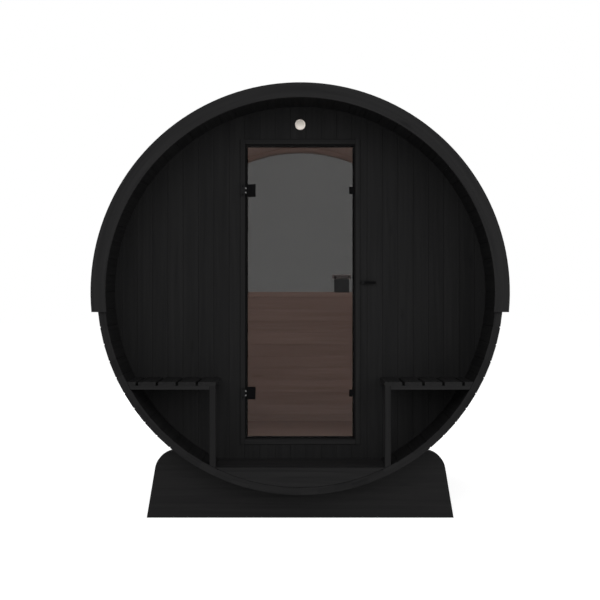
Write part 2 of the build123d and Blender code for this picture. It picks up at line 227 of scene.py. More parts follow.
class SaunaStage(bpy.types.PropertyGroup):
    """Camera and studio light."""

    distance: length("Camera distance", "Camera in front of the rim", 6.36)
    focal_length: ratio("Focal length", "Lens in millimetres", 69.15, 10)
    sensor: ratio("Sensor", "Width of the camera's sensor in millimetres", 36, 1)
    drop: ratio("Drop", "Share of the frame that the axis lies over its middle", 0.0134, -1)
    drift: ratio("Drift", "Share of the frame that the axis lies right of its middle", 0.0003, -1)
    ambient: ratio("Ambient", "Light from all round", 0.5)
    key: power("Key", "Lamp at the front", 340)
    fill: power("Fill", "Lamp at the side", 240)
    back: power("Back", "Lamp at the rear", 320)
    ceiling: power("Ceiling", "Lamp at the room's ceiling", 5)
    room: power("Room", "Lamp in the room", 13)
    wall: power("Wall", "Lamp on the rear wall", 8)
    floor_size: length("Floor size", "Width of the studio floor", 80.0)


# Node trees

# Sockets of a colour mix, and of a random value's upper limit
mix_share, mix_first, mix_second, mix_result = 0, 6, 7, 2
random_limit = 3


def add(tree, kind, inputs=None, **settings):
    """A node of that kind, with its settings, and its inputs set or linked."""
    made = tree.nodes.new(kind)
    for name, value in settings.items():
        setattr(made, name, value)
    for name, value in (inputs or {}).items():
        if isinstance(value, bpy.types.NodeSocket):
            tree.links.new(value, made.inputs[name])
        else:
            made.inputs[name].default_value = value
    return made


def maths(tree, operation, first, second=0.0):
    """The result of a sum on one or two values."""
    return add(tree, "ShaderNodeMath", {0: first, 1: second}, operation=operation).outputs[0]


def weighed(tree, parts, shares, start=0.0):
    """The sum of named parts, each times its share."""
    total = start
    for name, weight in shares.items():
        total = maths(tree, "ADD", total, maths(tree, "MULTIPLY", parts[name], weight))
    return total


def vector(tree, x=0.0, y=0.0, z=0.0):
    """Three values as a vector."""
    return add(tree, "ShaderNodeCombineXYZ", {"X": x, "Y": y, "Z": z}).outputs[0]


def vector_maths(tree, operation, first, second):
    """The result of a sum on two vectors."""
    return add(tree, "ShaderNodeVectorMath", {0: first, 1: second}, operation=operation).outputs[0]


def parts_of(tree, place):
    """The X, Y and Z of a place."""
    return add(tree, "ShaderNodeSeparateXYZ", {0: place}).outputs


def object_place(tree):
    """Object coordinates."""
    return add(tree, "ShaderNodeTexCoord").outputs["Object"]


def spread(tree, value, low=0.0, high=1.0, to_low=0.0, to_high=1.0):
    """A value moved from one range to another."""
    inputs = {"Value": value, "From Min": low, "From Max": high, "To Min": to_low, "To Max": to_high}
    return add(tree, "ShaderNodeMapRange", inputs).outputs[0]


def blended(tree, share, first, second):
    """Two colours mixed."""
    first, second = (
        shade if isinstance(shade, bpy.types.NodeSocket) else (*shade, 1) for shade in (first, second)
    )
    inputs = {mix_share: share, mix_first: first, mix_second: second}
    return add(tree, "ShaderNodeMix", inputs, data_type="RGBA").outputs[mix_result]


def noise(tree, place, scale=1.0, detail=3.0, roughness=0.55):
    """Soft noise at a place."""
    inputs = {"Vector": place, "Scale": scale, "Detail": detail, "Roughness": roughness}
    return add(tree, "ShaderNodeTexNoise", inputs).outputs["Fac"]


def board_number(tree):
    """The number that each board or tab carries."""
    return add(tree, "ShaderNodeAttribute", attribute_name="board").outputs["Fac"]


def board_tone(tree, number):
    """A tone of its own for each board or tab."""
    return add(tree, "ShaderNodeTexWhiteNoise", {"W": number}, noise_dimensions="1D").outputs["Value"]


def new_tree(name, kind, inputs, outputs):
    """An empty node group with its sockets, its input node and its output node."""
    tree = bpy.data.node_groups.new(name, kind)
    for direction, sockets in (("INPUT", inputs), ("OUTPUT", outputs)):
        for socket_name, value_kind in sockets.items():
            tree.interface.new_socket(
                socket_name, in_out=direction, socket_type="NodeSocket" + value_kind
            )
    return tree, tree.nodes.new("NodeGroupInput"), tree.nodes.new("NodeGroupOutput")


# Figures of the grain, as repeats in a metre along, across and into a board
sway_figure = (1.6, 5.0, 5.0)
streak_figure = (1.3, 48.0, 48.0)
ring_figure = (0.45, 13.0, 13.0)
fibre_figure = (16.0, 520.0, 520.0)
knot_figure = (2.1, 8.5, 8.5)
sway_reach = 0.03  # how far the figures sway across a board
line_turn = 62.0  # growth lines in a ring figure, in radians
streak_range = (0.28, 0.72)  # part of the noise that the streaks use
knot_range = (0.13, 0.04)  # from clear wood to the dark heart of a knot
wear_range = (0.3, 0.7)  # part of the noise that patches and specks use
seed_shift = (17.3, 5.1, 11.7)  # how far the figures move for a step of the seed


def wood_grain_group():
    """Grain of a board: X runs along it, Y across it, and a seed moves it from board to board."""
    found = bpy.data.node_groups.get("Wood grain")
    if found:
        return found
    figures = ("Streak", "Lines", "Fibre", "Tone", "Knot")
    tree, given, result = new_tree(
        "Wood grain", "ShaderNodeTree", {"Vector": "Vector", "Seed": "Float"},
        dict.fromkeys(figures, "Float"),
    )

    def figure_place(figure):
        return vector_maths(tree, "MULTIPLY", place, figure)

    seed = given.outputs["Seed"]
    shift = vector(tree, *(maths(tree, "MULTIPLY", seed, part) for part in seed_shift))
    place = vector_maths(tree, "ADD", given.outputs["Vector"], shift)
    sway = noise(tree, figure_place(sway_figure), detail=2.0)
    sway = maths(tree, "MULTIPLY", maths(tree, "SUBTRACT", sway, 0.5), sway_reach)
    place = vector_maths(tree, "ADD", place, vector(tree, 0.0, sway, 0.0))
    streak = noise(tree, figure_place(streak_figure), detail=5.0, roughness=0.6)
    rings = noise(tree, figure_place(ring_figure), detail=1.0)
    lines = maths(tree, "SINE", maths(tree, "MULTIPLY", rings, line_turn))
    fibre = noise(tree, figure_place(fibre_figure), detail=2.0)
    knots = add(tree, "ShaderNodeTexVoronoi", {"Vector": figure_place(knot_figure), "Scale": 1.0})
    outputs = {
        "Streak": spread(tree, streak, *streak_range),
        "Lines": spread(tree, lines, -1.0, 1.0),
        "Fibre": fibre,
        "Tone": board_tone(tree, seed),
        "Knot": spread(tree, knots.outputs["Distance"], *knot_range),
    }
    for name, socket in outputs.items():
        tree.links.new(socket, result.inputs[name])
    return tree


def wear_group():
    """Soft patches and fine specks of a handled or weathered face."""
    found = bpy.data.node_groups.get("Patches and specks")
    if found:
        return found
    tree, given, result = new_tree(
        "Patches and specks", "ShaderNodeTree",
        {"Vector": "Vector", "Patch Scale": "Float", "Speck Scale": "Float"},
        {"Patch": "Float", "Speck": "Float"},
    )
    place = given.outputs["Vector"]
    patch = noise(tree, place, given.outputs["Patch Scale"], detail=4.0, roughness=0.6)
    speck = noise(tree, place, given.outputs["Speck Scale"], detail=2.0)
    for name, socket in (("Patch", patch), ("Speck", speck)):
        tree.links.new(spread(tree, socket, *wear_range), result.inputs[name])
    return tree


# Where the grain runs

# For each direction of the grain: what lies along, across and into a board
grain_orders = {"X": "XZY", "Y": "YXZ", "Z": "ZXY"}

# Seeds that keep the grain of one board apart from the next
plain_seed = 0.37
ring_seed = 0.83
seed_per_board = 0.61
seed_per_side = 7.3


def board_grain(tree):
    """Grain along each board, from the board's own map and number."""
    return add(tree, "ShaderNodeUVMap", uv_map="grain").outputs["UV"], board_number(tree)


def straight_grain(axis, pitch=0.0, start=0.0):
    """Grain along one axis, with a new board at each pitch across it."""

    def grain(tree):
        parts = parts_of(tree, object_place(tree))
        along, across, depth = (parts[name] for name in grain_orders[axis])
        seed = plain_seed
        if pitch:
            out = maths(tree, "SUBTRACT", maths(tree, "ABSOLUTE", across), start)
            number = maths(tree, "FLOOR", maths(tree, "DIVIDE", out, pitch))
            side = maths(tree, "MULTIPLY", maths(tree, "SIGN", across), seed_per_side)
            seed = maths(tree, "ADD", maths(tree, "MULTIPLY", number, seed_per_board), side)
        return vector(tree, along, across, depth), seed

    return grain


def ring_grain(tree):
    """Grain that follows the barrel round."""
    parts = parts_of(tree, object_place(tree))
    up = maths(tree, "SUBTRACT", parts["Z"], axis_height)
    around = maths(tree, "MULTIPLY", maths(tree, "ARCTAN2", parts["X"], up), fascia_radius)
    squares = [maths(tree, "POWER", part, 2.0) for part in (parts["X"], up)]
    reach = maths(tree, "SQRT", maths(tree, "ADD", *squares))
    return vector(tree, around, reach, parts["Y"]), ring_seed


# Finishes

# Shares of the figures in a finish's colour and relief
grain_base = 0.15
grain_shares = {"Streak": 0.36, "Lines": 0.08, "Tone": 0.16, "Fibre": 0.1}
grain_relief_shares = {"Fibre": 0.4, "Streak": 0.6}
grain_relief = 0.0008
knot_share = 0.6
wear_shares = {"Patch": 0.6, "Speck": 0.4}
granule_shares = {"Speck": 0.45, "Tone": 0.35, "Patch": 0.2}

# How roughness swings about its middle, from dark to pale grain and from dark to worn parts
grain_range = (0.2, 0.9)
grain_swing = 0.1
dark_swing = 0.08
worn_swing = 0.1


def tones(kind):
    """The dark and the light colour of a finish."""
    finishes = bpy.context.scene.sauna_finishes
    return getattr(finishes, kind + "_dark"), getattr(finishes, kind + "_light")


def dimmed(shade, share):
    """A colour made darker."""
    return [share * part for part in shade]


def start_finish(name):
    """A new material with its tree and its shader."""
    material = bpy.data.materials.new(name)
    material.use_nodes = True
    tree = material.node_tree
    return material, tree, tree.nodes["Principled BSDF"]


def worn_face(tree, place, patches, specks):
    """Masks of soft patches and fine specks."""
    inputs = {"Vector": place, "Patch Scale": patches, "Speck Scale": specks}
    return add(tree, "ShaderNodeGroup", inputs, node_tree=wear_group()).outputs


def link_face(tree, shader, shade, roughness, specular=None):
    """Colour, roughness and gloss of a finish."""
    tree.links.new(shade, shader.inputs["Base Color"])
    tree.links.new(roughness, shader.inputs["Roughness"])
    if specular is not None:
        shader.inputs["Specular IOR Level"].default_value = specular


def link_bump(tree, shader, height, depth, strength=0.5):
    """Relief of a finish, depth in metres."""
    inputs = {"Strength": strength, "Distance": depth, "Height": height}
    bump = add(tree, "ShaderNodeBump", inputs)
    tree.links.new(bump.outputs["Normal"], shader.inputs["Normal"])


def wood(name, grain, dark, light, specular, rough, outside=None):
    """A wood finish: streaks, growth lines, a tone for each board and knots, other colours outside."""
    found = bpy.data.materials.get(name)
    if found:
        return found
    material, tree, shader = start_finish(name)
    if outside:
        depth = parts_of(tree, object_place(tree))["Y"]
        share = maths(tree, "GREATER_THAN", depth, (rear_wall_front + rear_wall_back) / 2)
        dark = blended(tree, share, dark, outside[0])
        light = blended(tree, share, light, outside[1])
    place, seed = grain(tree)
    inputs = {"Vector": place, "Seed": seed}
    figure = add(tree, "ShaderNodeGroup", inputs, node_tree=wood_grain_group()).outputs
    shade = weighed(tree, figure, grain_shares, grain_base)
    body = blended(tree, shade, dark, light)
    stained = blended(tree, maths(tree, "MULTIPLY", figure["Knot"], knot_share), body, dark)
    roughness = spread(tree, shade, *grain_range, rough + grain_swing, rough - grain_swing)
    link_face(tree, shader, stained, roughness, specular)
    link_bump(tree, shader, weighed(tree, figure, grain_relief_shares), grain_relief)
    return material


def black_stain(name, grain, specular=0.04):
    """Black stain that lets the grain through."""
    return wood(name, grain, *tones("stain"), specular, rough=0.72)


def overhang_shade_stain(name, grain):
    """Black stain of the staves' inner faces over the porch and past the rear wall, made darker as
    painted shade.
    """
    return wood(name, grain, *tones("sheltered"), specular=0.03, rough=0.78)


def wall_stain(name, grain):
    """Deeper black of the end walls, the door frame and the bench posts."""
    return wood(name, grain, *tones("wall"), specular=0.08, rough=0.72)


def cradle_stain(name, grain):
    """Stain of the cradles, with a little more gloss."""
    return wood(name, grain, *tones("cradle"), specular=0.1, rough=0.66)


def room_wood(name, grain, outside=None):
    """Bare heat-treated wood of the room."""
    return wood(name, grain, *tones("room"), specular=0.05, rough=0.75, outside=outside)


def window_wood(name, grain):
    """Wood of the window, bare in the room and stained outside."""
    return room_wood(name, grain, tones("stain"))


def brightened_grip_wood(name, grain):
    """Pale smooth wood of the grip inside the door, made paler still as painted light for the light
    that the glass in front of it holds back.
    """
    return wood(name, grain, *tones("grip"), specular=0.05, rough=0.6)


def worn_finish(name, dark, light, specular, rough, patches, specks, relief, bare=None):
    """A finish with soft patches and fine specks; bare is an edge in X and the colour past it, which
    the hinges use for a painted highlight.
    """
    found = bpy.data.materials.get(name)
    if found:
        return found
    material, tree, shader = start_finish(name)
    place = object_place(tree)
    wear = worn_face(tree, place, patches, specks)
    share = weighed(tree, wear, wear_shares)
    shade = blended(tree, share, dark, light)
    # Past the edge a flat paler colour: painted highlight
    if bare:
        edge, highlight_shade = bare
        past = maths(tree, "GREATER_THAN", parts_of(tree, place)["X"], edge)
        shade = blended(tree, past, shade, highlight_shade)
    roughness = spread(tree, share, to_low=rough - dark_swing, to_high=rough + worn_swing)
    link_face(tree, shader, shade, roughness, specular)
    link_bump(tree, shader, wear["Speck"], relief)
    return material


def black_metal():
    """Fine-textured black powder coat."""
    return worn_finish(
        "Black powder coat", *tones("metal"),
        specular=0.02, rough=0.42, patches=9.0, specks=700.0, relief=0.0003,
    )


def painted_steel():
    """Painted steel of the hoops and the turn button's pivot."""
    return worn_finish(
        "Painted steel", *tones("steel"),
        specular=0.06, rough=0.5, patches=7.0, specks=600.0, relief=0.0003,
    )


def hinge_steel_and_highlight():
    """Black paint on the hinge plates, with a flat pale grey on their knuckles: painted highlight
    standing for the shine of bare steel.
    """
    scene = bpy.context.scene
    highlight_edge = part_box("hinge_leaves")[1].x - scene.sauna_fittings.knuckle
    return worn_finish(
        "Hinge steel", *tones("steel"),
        specular=0.06, rough=0.5, patches=9.0, specks=700.0, relief=0.0003,
        bare=(highlight_edge, scene.sauna_finishes.knuckle),
    )


def pull_metal():
    """Satin dark metal of the door pull."""
    return worn_finish(
        "Satin pull", *tones("pull"),
        specular=0.06, rough=0.38, patches=12.0, specks=500.0, relief=0.0002,
    )


def roof_felt():
    """Bare roofing under the shingles."""
    return worn_finish(
        "Roofing felt", *tones("roofing"),
        specular=0.08, rough=0.9, patches=3.0, specks=500.0, relief=0.0006,
    )


def rubber_seal():
    """Soft black rubber."""
    finishes = bpy.context.scene.sauna_finishes
    return worn_finish(
        "Rubber seal", finishes.rubber, finishes.metal_dark,
        specular=0.1, rough=0.7, patches=14.0, specks=300.0, relief=0.0002,
    )


def window_sealant():
    """Smooth brown sealant of the window's bead."""
    shade = bpy.context.scene.sauna_finishes.sealant
    return worn_finish(
        "Window sealant", dimmed(shade, 0.8), shade,
        specular=0.1, rough=0.6, patches=14.0, specks=300.0, relief=0.0002,
    )


def lamp_enamel():
    """White enamel of the lamp's rim."""
    shade = bpy.context.scene.sauna_finishes.enamel
    return worn_finish(
        "Lamp enamel", dimmed(shade, 0.92), shade,
        specular=0.4, rough=0.35, patches=40.0, specks=400.0, relief=0.0001,
    )


def shingle_granules():
    """Shingle face: granules and weathered patches, with a tone for each tab."""
    found = bpy.data.materials.get("Shingle granules")
    if found:
        return found
    material, tree, shader = start_finish("Shingle granules")
    patch, speck = worn_face(tree, object_place(tree), patches=2.5, specks=420.0)
    parts = {"Patch": patch, "Speck": speck, "Tone": board_tone(tree, board_number(tree))}
    granules = blended(tree, weighed(tree, parts, granule_shares), *tones("roofing"))
    roughness = spread(tree, speck, to_low=0.82, to_high=0.98)
    link_face(tree, shader, granules, roughness, specular=0.12)
    link_bump(tree, shader, speck, depth=0.001, strength=0.7)
    return material


def lamp_opal_with_shade():
    """Opal lens with painted light and shade: greyer towards its top, paler towards its lower edge."""
    found = bpy.data.materials.get("Lamp opal")
    if found:
        return found
    finishes = bpy.context.scene.sauna_finishes
    material, tree, shader = start_finish("Lamp opal")
    low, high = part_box("lamp_lens")
    cloud_share = 0.15
    place = object_place(tree)
    cloud = maths(tree, "MULTIPLY", noise(tree, place, scale=90.0), cloud_share)
    # Painted shade and light: the opal's grey at the lens's top, the enamel's white at its lower edge
    share = maths(tree, "ADD", spread(tree, parts_of(tree, place)["Z"], low.z, high.z), cloud)
    shade = blended(tree, share, finishes.enamel, finishes.opal)
    roughness = spread(tree, cloud, high=cloud_share, to_low=0.25, to_high=0.35)
    link_face(tree, shader, shade, roughness, specular=0.4)
    link_bump(tree, shader, cloud, depth=0.0002)
    return material


def tinted_glass():
    """Tinted glass with a faint film on it."""
    found = bpy.data.materials.get("Tinted glass")
    if found:
        return found
    tint = bpy.context.scene.sauna_finishes.tint
    material, tree, shader = start_finish("Tinted glass")
    film = worn_face(tree, object_place(tree), patches=1.6, specks=60.0)["Patch"]
    shade = blended(tree, film, dimmed(tint, 0.97), tint)
    link_face(tree, shader, shade, spread(tree, film, to_high=0.01))
    shader.inputs["Transmission Weight"].default_value = 1.0
    shader.inputs["IOR"].default_value = 1.15
    return material


# Pieces

weld = 1e-6  # corners closer than this are one
end_grain = 0.8  # a face that looks this much along its board shows end grain


def linked(name, mesh):
    """An object in the scene for a mesh."""
    piece = bpy.data.objects.new(name, mesh)
    bpy.context.scene.collection.objects.link(piece)
    return piece


def mesh_of(name, bm):
    """A plain mesh of what was drawn."""
    mesh = bpy.data.meshes.new(name)
    bm.to_mesh(mesh)
    bm.free()
    return mesh


def skin(bm, rings, looped=False):
    """Faces from ring to ring of corners, with both ends closed or the last joined to the first."""
    following_rings = rings[1:] + rings[:1] if looped else rings[1:]
    for ring, following in zip(rings, following_rings):
        for place in range(len(ring)):
            beside = (place + 1) % len(ring)
            bm.faces.new((ring[place], ring[beside], following[beside], following[place]))
    if not looped:
        bm.faces.new(rings[0])
        bm.faces.new(rings[-1])
    bmesh.ops.remove_doubles(bm, verts=bm.verts, dist=weld)
    bmesh.ops.recalc_face_normals(bm, faces=bm.faces)


def mark_grain(bm, lengthwise):
    """Maps each face along the grain: lengthwise is 0, 1 or 2 for X, Y or Z."""
    bm.normal_update()
    layer = bm.loops.layers.uv.new("grain")
    others = [place for place in range(3) if place != lengthwise]
    for face in bm.faces:
        normal = [abs(part) for part in face.normal]
        if normal[lengthwise] > end_grain:
            along, across = others
        else:
            along = lengthwise
            across = min(others, key=lambda place: normal[place])
        for loop in face.loops:
            loop[layer].uv = (loop.vert.co[along], loop.vert.co[across])


def settle(piece, body, slot, *nodes):
    """The piece rides on its body and stands for its nodes, which are hidden; slot is not used."""
    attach(piece, body)
    if nodes:
        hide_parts(*nodes)


def paint(finish, *nodes):
    """A finish on nodes that stay as they are."""
    for name in nodes:
        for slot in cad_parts[name].material_slots:
            slot.material = finish


def grown(name, tree, values, mesh=None):
    """The piece that a node tree makes from its named inputs, as a plain mesh."""
    piece = linked(name, mesh or bpy.data.meshes.new(name))
    modifier = piece.modifiers.new("Shape", "NODES")
    modifier.node_group = tree
    for item in tree.interface.items_tree:
        if item.in_out == "INPUT" and item.name in values:
            modifier[item.identifier] = values[item.name]
    graph = bpy.context.evaluated_depsgraph_get()
    made = bpy.data.meshes.new_from_object(
        piece.evaluated_get(graph), preserve_all_data_layers=True, depsgraph=graph
    )
    piece.modifiers.remove(modifier)
    piece.data = made
    made.name = name
    for value in values.values():
        if isinstance(value, bpy.types.Object):
            bpy.data.objects.remove(value)
    if not made.polygons:
        raise RuntimeError(name + " came out empty")
    return piece


def shape_tree(name, inputs):
    """An empty geometry tree that puts out one geometry."""
    return new_tree(name, "GeometryNodeTree", inputs, {"Geometry": "Geometry"})


def index_of(tree):
    """The number of a point."""
    return add(tree, "GeometryNodeInputIndex").outputs[0]


def points_at(tree, count, place):
    """Points at places that follow from their numbers."""
    return add(tree, "GeometryNodePoints", {"Count": count, "Position": place}).outputs[0]


def object_shape(tree, socket):
    """The geometry of an object input."""
    return add(tree, "GeometryNodeObjectInfo", {"Object": socket}).outputs["Geometry"]


def euler(tree, x=0.0, y=0.0, z=0.0):
    """A turn from three angles."""
    return add(tree, "FunctionNodeEulerToRotation", {"Euler": vector(tree, x, y, z)}).outputs[0]


def numbered_copies(tree, points, copy, turn, number, seed, selection=True):
    """Copies of one shape on points, each with its own board number."""
    placed = add(
        tree, "GeometryNodeInstanceOnPoints",
        {"Points": points, "Selection": selection, "Instance": copy, "Rotation": turn},
    ).outputs[0]
    random = add(tree, "FunctionNodeRandomValue", {"ID": number, "Seed": seed}, data_type="FLOAT")
    return add(
        tree, "GeometryNodeStoreNamedAttribute",
        {"Geometry": placed, "Name": "board", "Value": random.outputs[1]},
        data_type="FLOAT", domain="INSTANCE",
    ).outputs[0]


def finished_copies(tree, result, copies, finish, marked=()):
    """Copies made plain geometry with their finish, and other finishes where a face has a mark."""
    shape = add(tree, "GeometryNodeRealizeInstances", {"Geometry": copies}).outputs[0]
    shape = add(tree, "GeometryNodeSetMaterial", {"Geometry": shape, "Material": finish}).outputs[0]
    for mark, other in marked:
        chosen = add(tree, "GeometryNodeInputNamedAttribute", {"Name": mark}, data_type="BOOLEAN")
        shape = add(
            tree, "GeometryNodeSetMaterial",
            {"Geometry": shape, "Selection": chosen.outputs[0], "Material": other},
        ).outputs[0]
    tree.links.new(shape, result.inputs[0])


def row_tree():
    """Pieces laid one behind the other along the barrel."""
    tree, given, result = shape_tree(
        "Row along the barrel",
        {"Piece": "Object", "Count": "Int", "Pitch": "Float", "Start": "Float", "Height": "Float",
         "Seed": "Int", "Finish": "Material"},
    )
    index = index_of(tree)
    step = maths(tree, "MULTIPLY", maths(tree, "ADD", index, 0.5), given.outputs["Pitch"])
    along = maths(tree, "ADD", step, given.outputs["Start"])
    place = vector(tree, 0.0, along, given.outputs["Height"])
    points = points_at(tree, given.outputs["Count"], place)
    piece = object_shape(tree, given.outputs["Piece"])
    copies = numbered_copies(tree, points, piece, euler(tree), index, given.outputs["Seed"])
    finished_copies(tree, result, copies, given.outputs["Finish"])
    return tree


def row_of(name, mesh, count, pitch, start, height, seed, finish):
    """A row of like pieces along the barrel, as one piece."""
    values = {
        "Piece": linked(mesh.name, mesh),
        "Count": count,
        "Pitch": pitch,
        "Start": start,
        "Height": height,
        "Seed": seed,
        "Finish": finish,
    }
    tree = bpy.data.node_groups.get("Row along the barrel") or row_tree()
    return grown(name, tree, values)


# Staves

inner_face = -0.3  # a face of the top stave that looks down this much is on the inside


def stave_section(sizes, ease, groove):
    """Corners of a stave seen along the barrel, for the stave at the top."""
    slope = math.tan(math.pi / sizes.staves)
    outer = barrel_radius - ease
    inner = barrel_radius - sizes.thickness + ease + groove
    right = [
        (outer * slope - sizes.outer_bevel, outer),
        ((outer - sizes.outer_bevel) * slope, outer - sizes.outer_bevel),
        ((inner + sizes.inner_bevel) * slope, inner + sizes.inner_bevel),
        (inner * slope - sizes.inner_bevel, inner),
    ]
    return right + [(-x, z) for x, z in reversed(right)]


def stave_mesh(sizes):
    """One stave with eased ends and the two grooves for the end walls."""
    stations = [(rim_front, sizes.end_ease, 0), (rim_front + sizes.end_ease, 0, 0)]
    for front, back in ((front_wall_front, front_wall_back), (rear_wall_front, rear_wall_back)):
        stations += [(front, 0, 0), (front, 0, sizes.croze), (back, 0, sizes.croze), (back, 0, 0)]
    stations += [(rim_rear - sizes.end_ease, 0, 0), (rim_rear, sizes.end_ease, 0)]
    bm = bmesh.new()
    skin(bm, [
        [bm.verts.new((x, y, z)) for x, z in stave_section(sizes, ease, groove)]
        for y, ease, groove in stations
    ])
    for mark in ("bare", "sheltered"):
        bm.faces.layers.int.new(mark)
    mark_grain(bm, 1)
    # Inner faces in the room are marked as bare wood; the other inner faces are marked for painted
    # shade
    for face in bm.faces:
        if face.normal.z < inner_face:
            in_room = front_wall_back < face.calc_center_median().y < rear_wall_front
            mark = "bare" if in_room else "sheltered"
            face[bm.faces.layers.int[mark]] = 1
    return mesh_of("stave", bm)


def stave_tree():
    """Staves set round the barrel's axis."""
    tree, given, result = shape_tree(
        "Ring of staves",
        {"Stave": "Object", "Count": "Int", "Axis Height": "Float", "Seed": "Int",
         "Stain": "Material", "Bare": "Material", "Sheltered": "Material"},
    )
    count = given.outputs["Count"]
    index = index_of(tree)
    step = maths(tree, "DIVIDE", 2 * math.pi, count)
    angle = maths(tree, "MULTIPLY", maths(tree, "ADD", index, 0.5), step)
    points = points_at(tree, count, vector(tree, 0.0, 0.0, given.outputs["Axis Height"]))
    stave = object_shape(tree, given.outputs["Stave"])
    copies = numbered_copies(tree, points, stave, euler(tree, y=angle), index, given.outputs["Seed"])
    # The second mark puts painted shade on the inner faces outside the room
    marked = (("bare", given.outputs["Bare"]), ("sheltered", given.outputs["Sheltered"]))
    finished_copies(tree, result, copies, given.outputs["Stain"], marked)
    return tree


class SAUNA_OT_staves(bpy.types.Operator):
    """Sets the staves round the barrel"""

    bl_idname = "sauna.staves"
    bl_label = "Staves"

    def execute(self, context):
        sizes = context.scene.sauna_barrel
        values = {
            "Stave": linked("stave", stave_mesh(sizes)),
            "Count": sizes.staves,
            "Axis Height": axis_height,
            "Seed": sizes.seed,
            "Stain": black_stain("Stained boards", board_grain),
            "Bare": room_wood("Room boards", board_grain),
            "Sheltered": overhang_shade_stain("Sheltered boards", board_grain),
        }
        staves = grown("barrel_staves", stave_tree(), values)
        settle(staves, "building", "black_wood", *nodes_named("staves_"))
        return {"FINISHED"}


class SAUNA_OT_hoops(bpy.types.Operator):
    """Finishes the hoops"""

    bl_idname = "sauna.hoops"
    bl_label = "Hoops"

    def execute(self, context):
        paint(painted_steel(), "hoops")
        return {"FINISHED"}


# Boarded walls

strips_per_board = 3
seed_per_wall_board = 0.37
least_chord = 1e-6  # under the root of a chord at the wall's very edge
stained_side, room_side = 0, 1  # finishes of a wall's two sides

# Which of a corner's along, across and depth map a board's face, its end and its edge
face_map, end_map, edge_map = (0, 1), (2, 1), (0, 2)


def chord_top(across):
    """The upper end of a wall's chord at a distance from the axis."""
    return math.sqrt(max(wall_radius**2 - across**2, least_chord))


def chord_bottom(across):
    """The lower end of that chord."""
    return -chord_top(across)


def level_at(level):
    """A board's end that is the same all across it."""
    return lambda across: level


def board_strip(bm, columns, low, high, place, thickness, number):
    """A board or a part of one: columns are places across it with the set-back of its faces there."""
    layer = bm.loops.layers.uv["grain"]
    mark = bm.verts.layers.float["board"]
    rows = []
    spots = {}
    for across, setback in columns:
        row = []
        for depth in (setback, thickness - setback):
            for limit in (low, high):
                along = limit(across)
                vert = bm.verts.new(place(across, along, depth))
                vert[mark] = number
                spots[vert] = (along, across, depth)
                row.append(vert)
        rows.append(row)
    faces = []
    for row, following in zip(rows, rows[1:]):
        faces.append(((row[0], following[0], following[1], row[1]), face_map, stained_side))
        faces.append(((row[2], row[3], following[3], following[2]), face_map, room_side))
        faces.append(((row[0], row[2], following[2], following[0]), end_map, stained_side))
        faces.append(((row[1], following[1], following[3], row[3]), end_map, stained_side))
    for row in (rows[0], rows[-1]):
        faces.append(((row[0], row[1], row[3], row[2]), edge_map, stained_side))
    for corners, (along, across), finish in faces:
        face = bm.faces.new(corners)
        face.material_index = finish
        for loop in face.loops:
            loop[layer].uv = (spots[loop.vert][along], spots[loop.vert][across])


def boarded_wall(name, joints, place, thickness, sizes, doorway=None):
    """A wall of V-jointed boards between the joints, round a doorway if there is one."""
    bm = bmesh.new()
    bm.loops.layers.uv.new("grain")
    bm.verts.layers.float.new("board")
    for number, (start, stop) in enumerate(zip(joints, joints[1:])):
        sides = [side for side in (doorway or {}).get("sides", ()) if start < side < stop]
        edges = [start, *sides, stop]
        for left, right in zip(edges, edges[1:]):
            columns = []
            if left == start:
                columns.append((left, sizes.groove_depth))
                left += sizes.groove_width
            last = []
            if right == stop:
                last.append((right, sizes.groove_depth))
                right -= sizes.groove_width
            for step in range(strips_per_board + 1):
                columns.append((left + (right - left) * step / strips_per_board, 0.0))
            columns += last
            spans = [(chord_bottom, chord_top)]
            if doorway and doorway["sides"][0] < (left + right) / 2 < doorway["sides"][1]:
                bottom, top = doorway["levels"]
                spans = [(chord_bottom, level_at(bottom)), (level_at(top), chord_top)]
            for low, high in spans:
                seed = sizes.seed + number * seed_per_wall_board
                board_strip(bm, columns, low, high, place, thickness, seed)
    bmesh.ops.recalc_face_normals(bm, faces=bm.faces)
    wall = linked(name, mesh_of(name, bm))
    wall.data.materials.append(wall_stain("Stained wall boards", board_grain))
    wall.data.materials.append(room_wood("Room boards", board_grain))
    return wall


class SAUNA_OT_front_wall(bpy.types.Operator):
    """Boards up the front wall round the doorway"""

    bl_idname = "sauna.front_wall"
    bl_label = "Front wall"

    def execute(self, context):
        sizes = context.scene.sauna_boards
        count = int(wall_radius / sizes.pitch) + 1
        joints = [sizes.joint_place + step * sizes.pitch for step in range(-count, count)]
        reach = wall_radius - sizes.groove_width
        joints = [-reach, *(joint for joint in joints if abs(joint) < reach - sizes.pitch / 4), reach]
        jamb_low, jamb_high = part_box("door_jamb_right")
        doorway = {
            "sides": (-jamb_high.x, jamb_high.x),
            "levels": (jamb_low.z - axis_height, jamb_high.z - axis_height),
        }

        def place(across, along, depth):
            return across, front_wall_front + depth, axis_height + along

        thickness = front_wall_back - front_wall_front
        wall = boarded_wall("front_wall_boards", joints, place, thickness, sizes, doorway)
        settle(wall, "building", "black_wood", *nodes_named("front_wall_"))
        return {"FINISHED"}


class SAUNA_OT_rear_wall(bpy.types.Operator):
    """Boards across the lower half of the rear wall"""

    bl_idname = "sauna.rear_wall"
    bl_label = "Rear wall"

    def execute(self, context):
        sizes = context.scene.sauna_boards
        top = rear_high.z - axis_height
        bottom = sizes.groove_width - wall_radius
        count = int((top - bottom) / sizes.pitch)
        joints = [top - step * sizes.pitch for step in range(count + 1)]
        joints = [bottom, *reversed(joints)]

        def place(across, along, depth):
            return along, rear_wall_back - depth, axis_height + across

        thickness = rear_wall_back - rear_wall_front
        wall = boarded_wall("rear_wall_boards", joints, place, thickness, sizes)
        settle(wall, "building", "black_wood", "rear_wall")
        return {"FINISHED"}


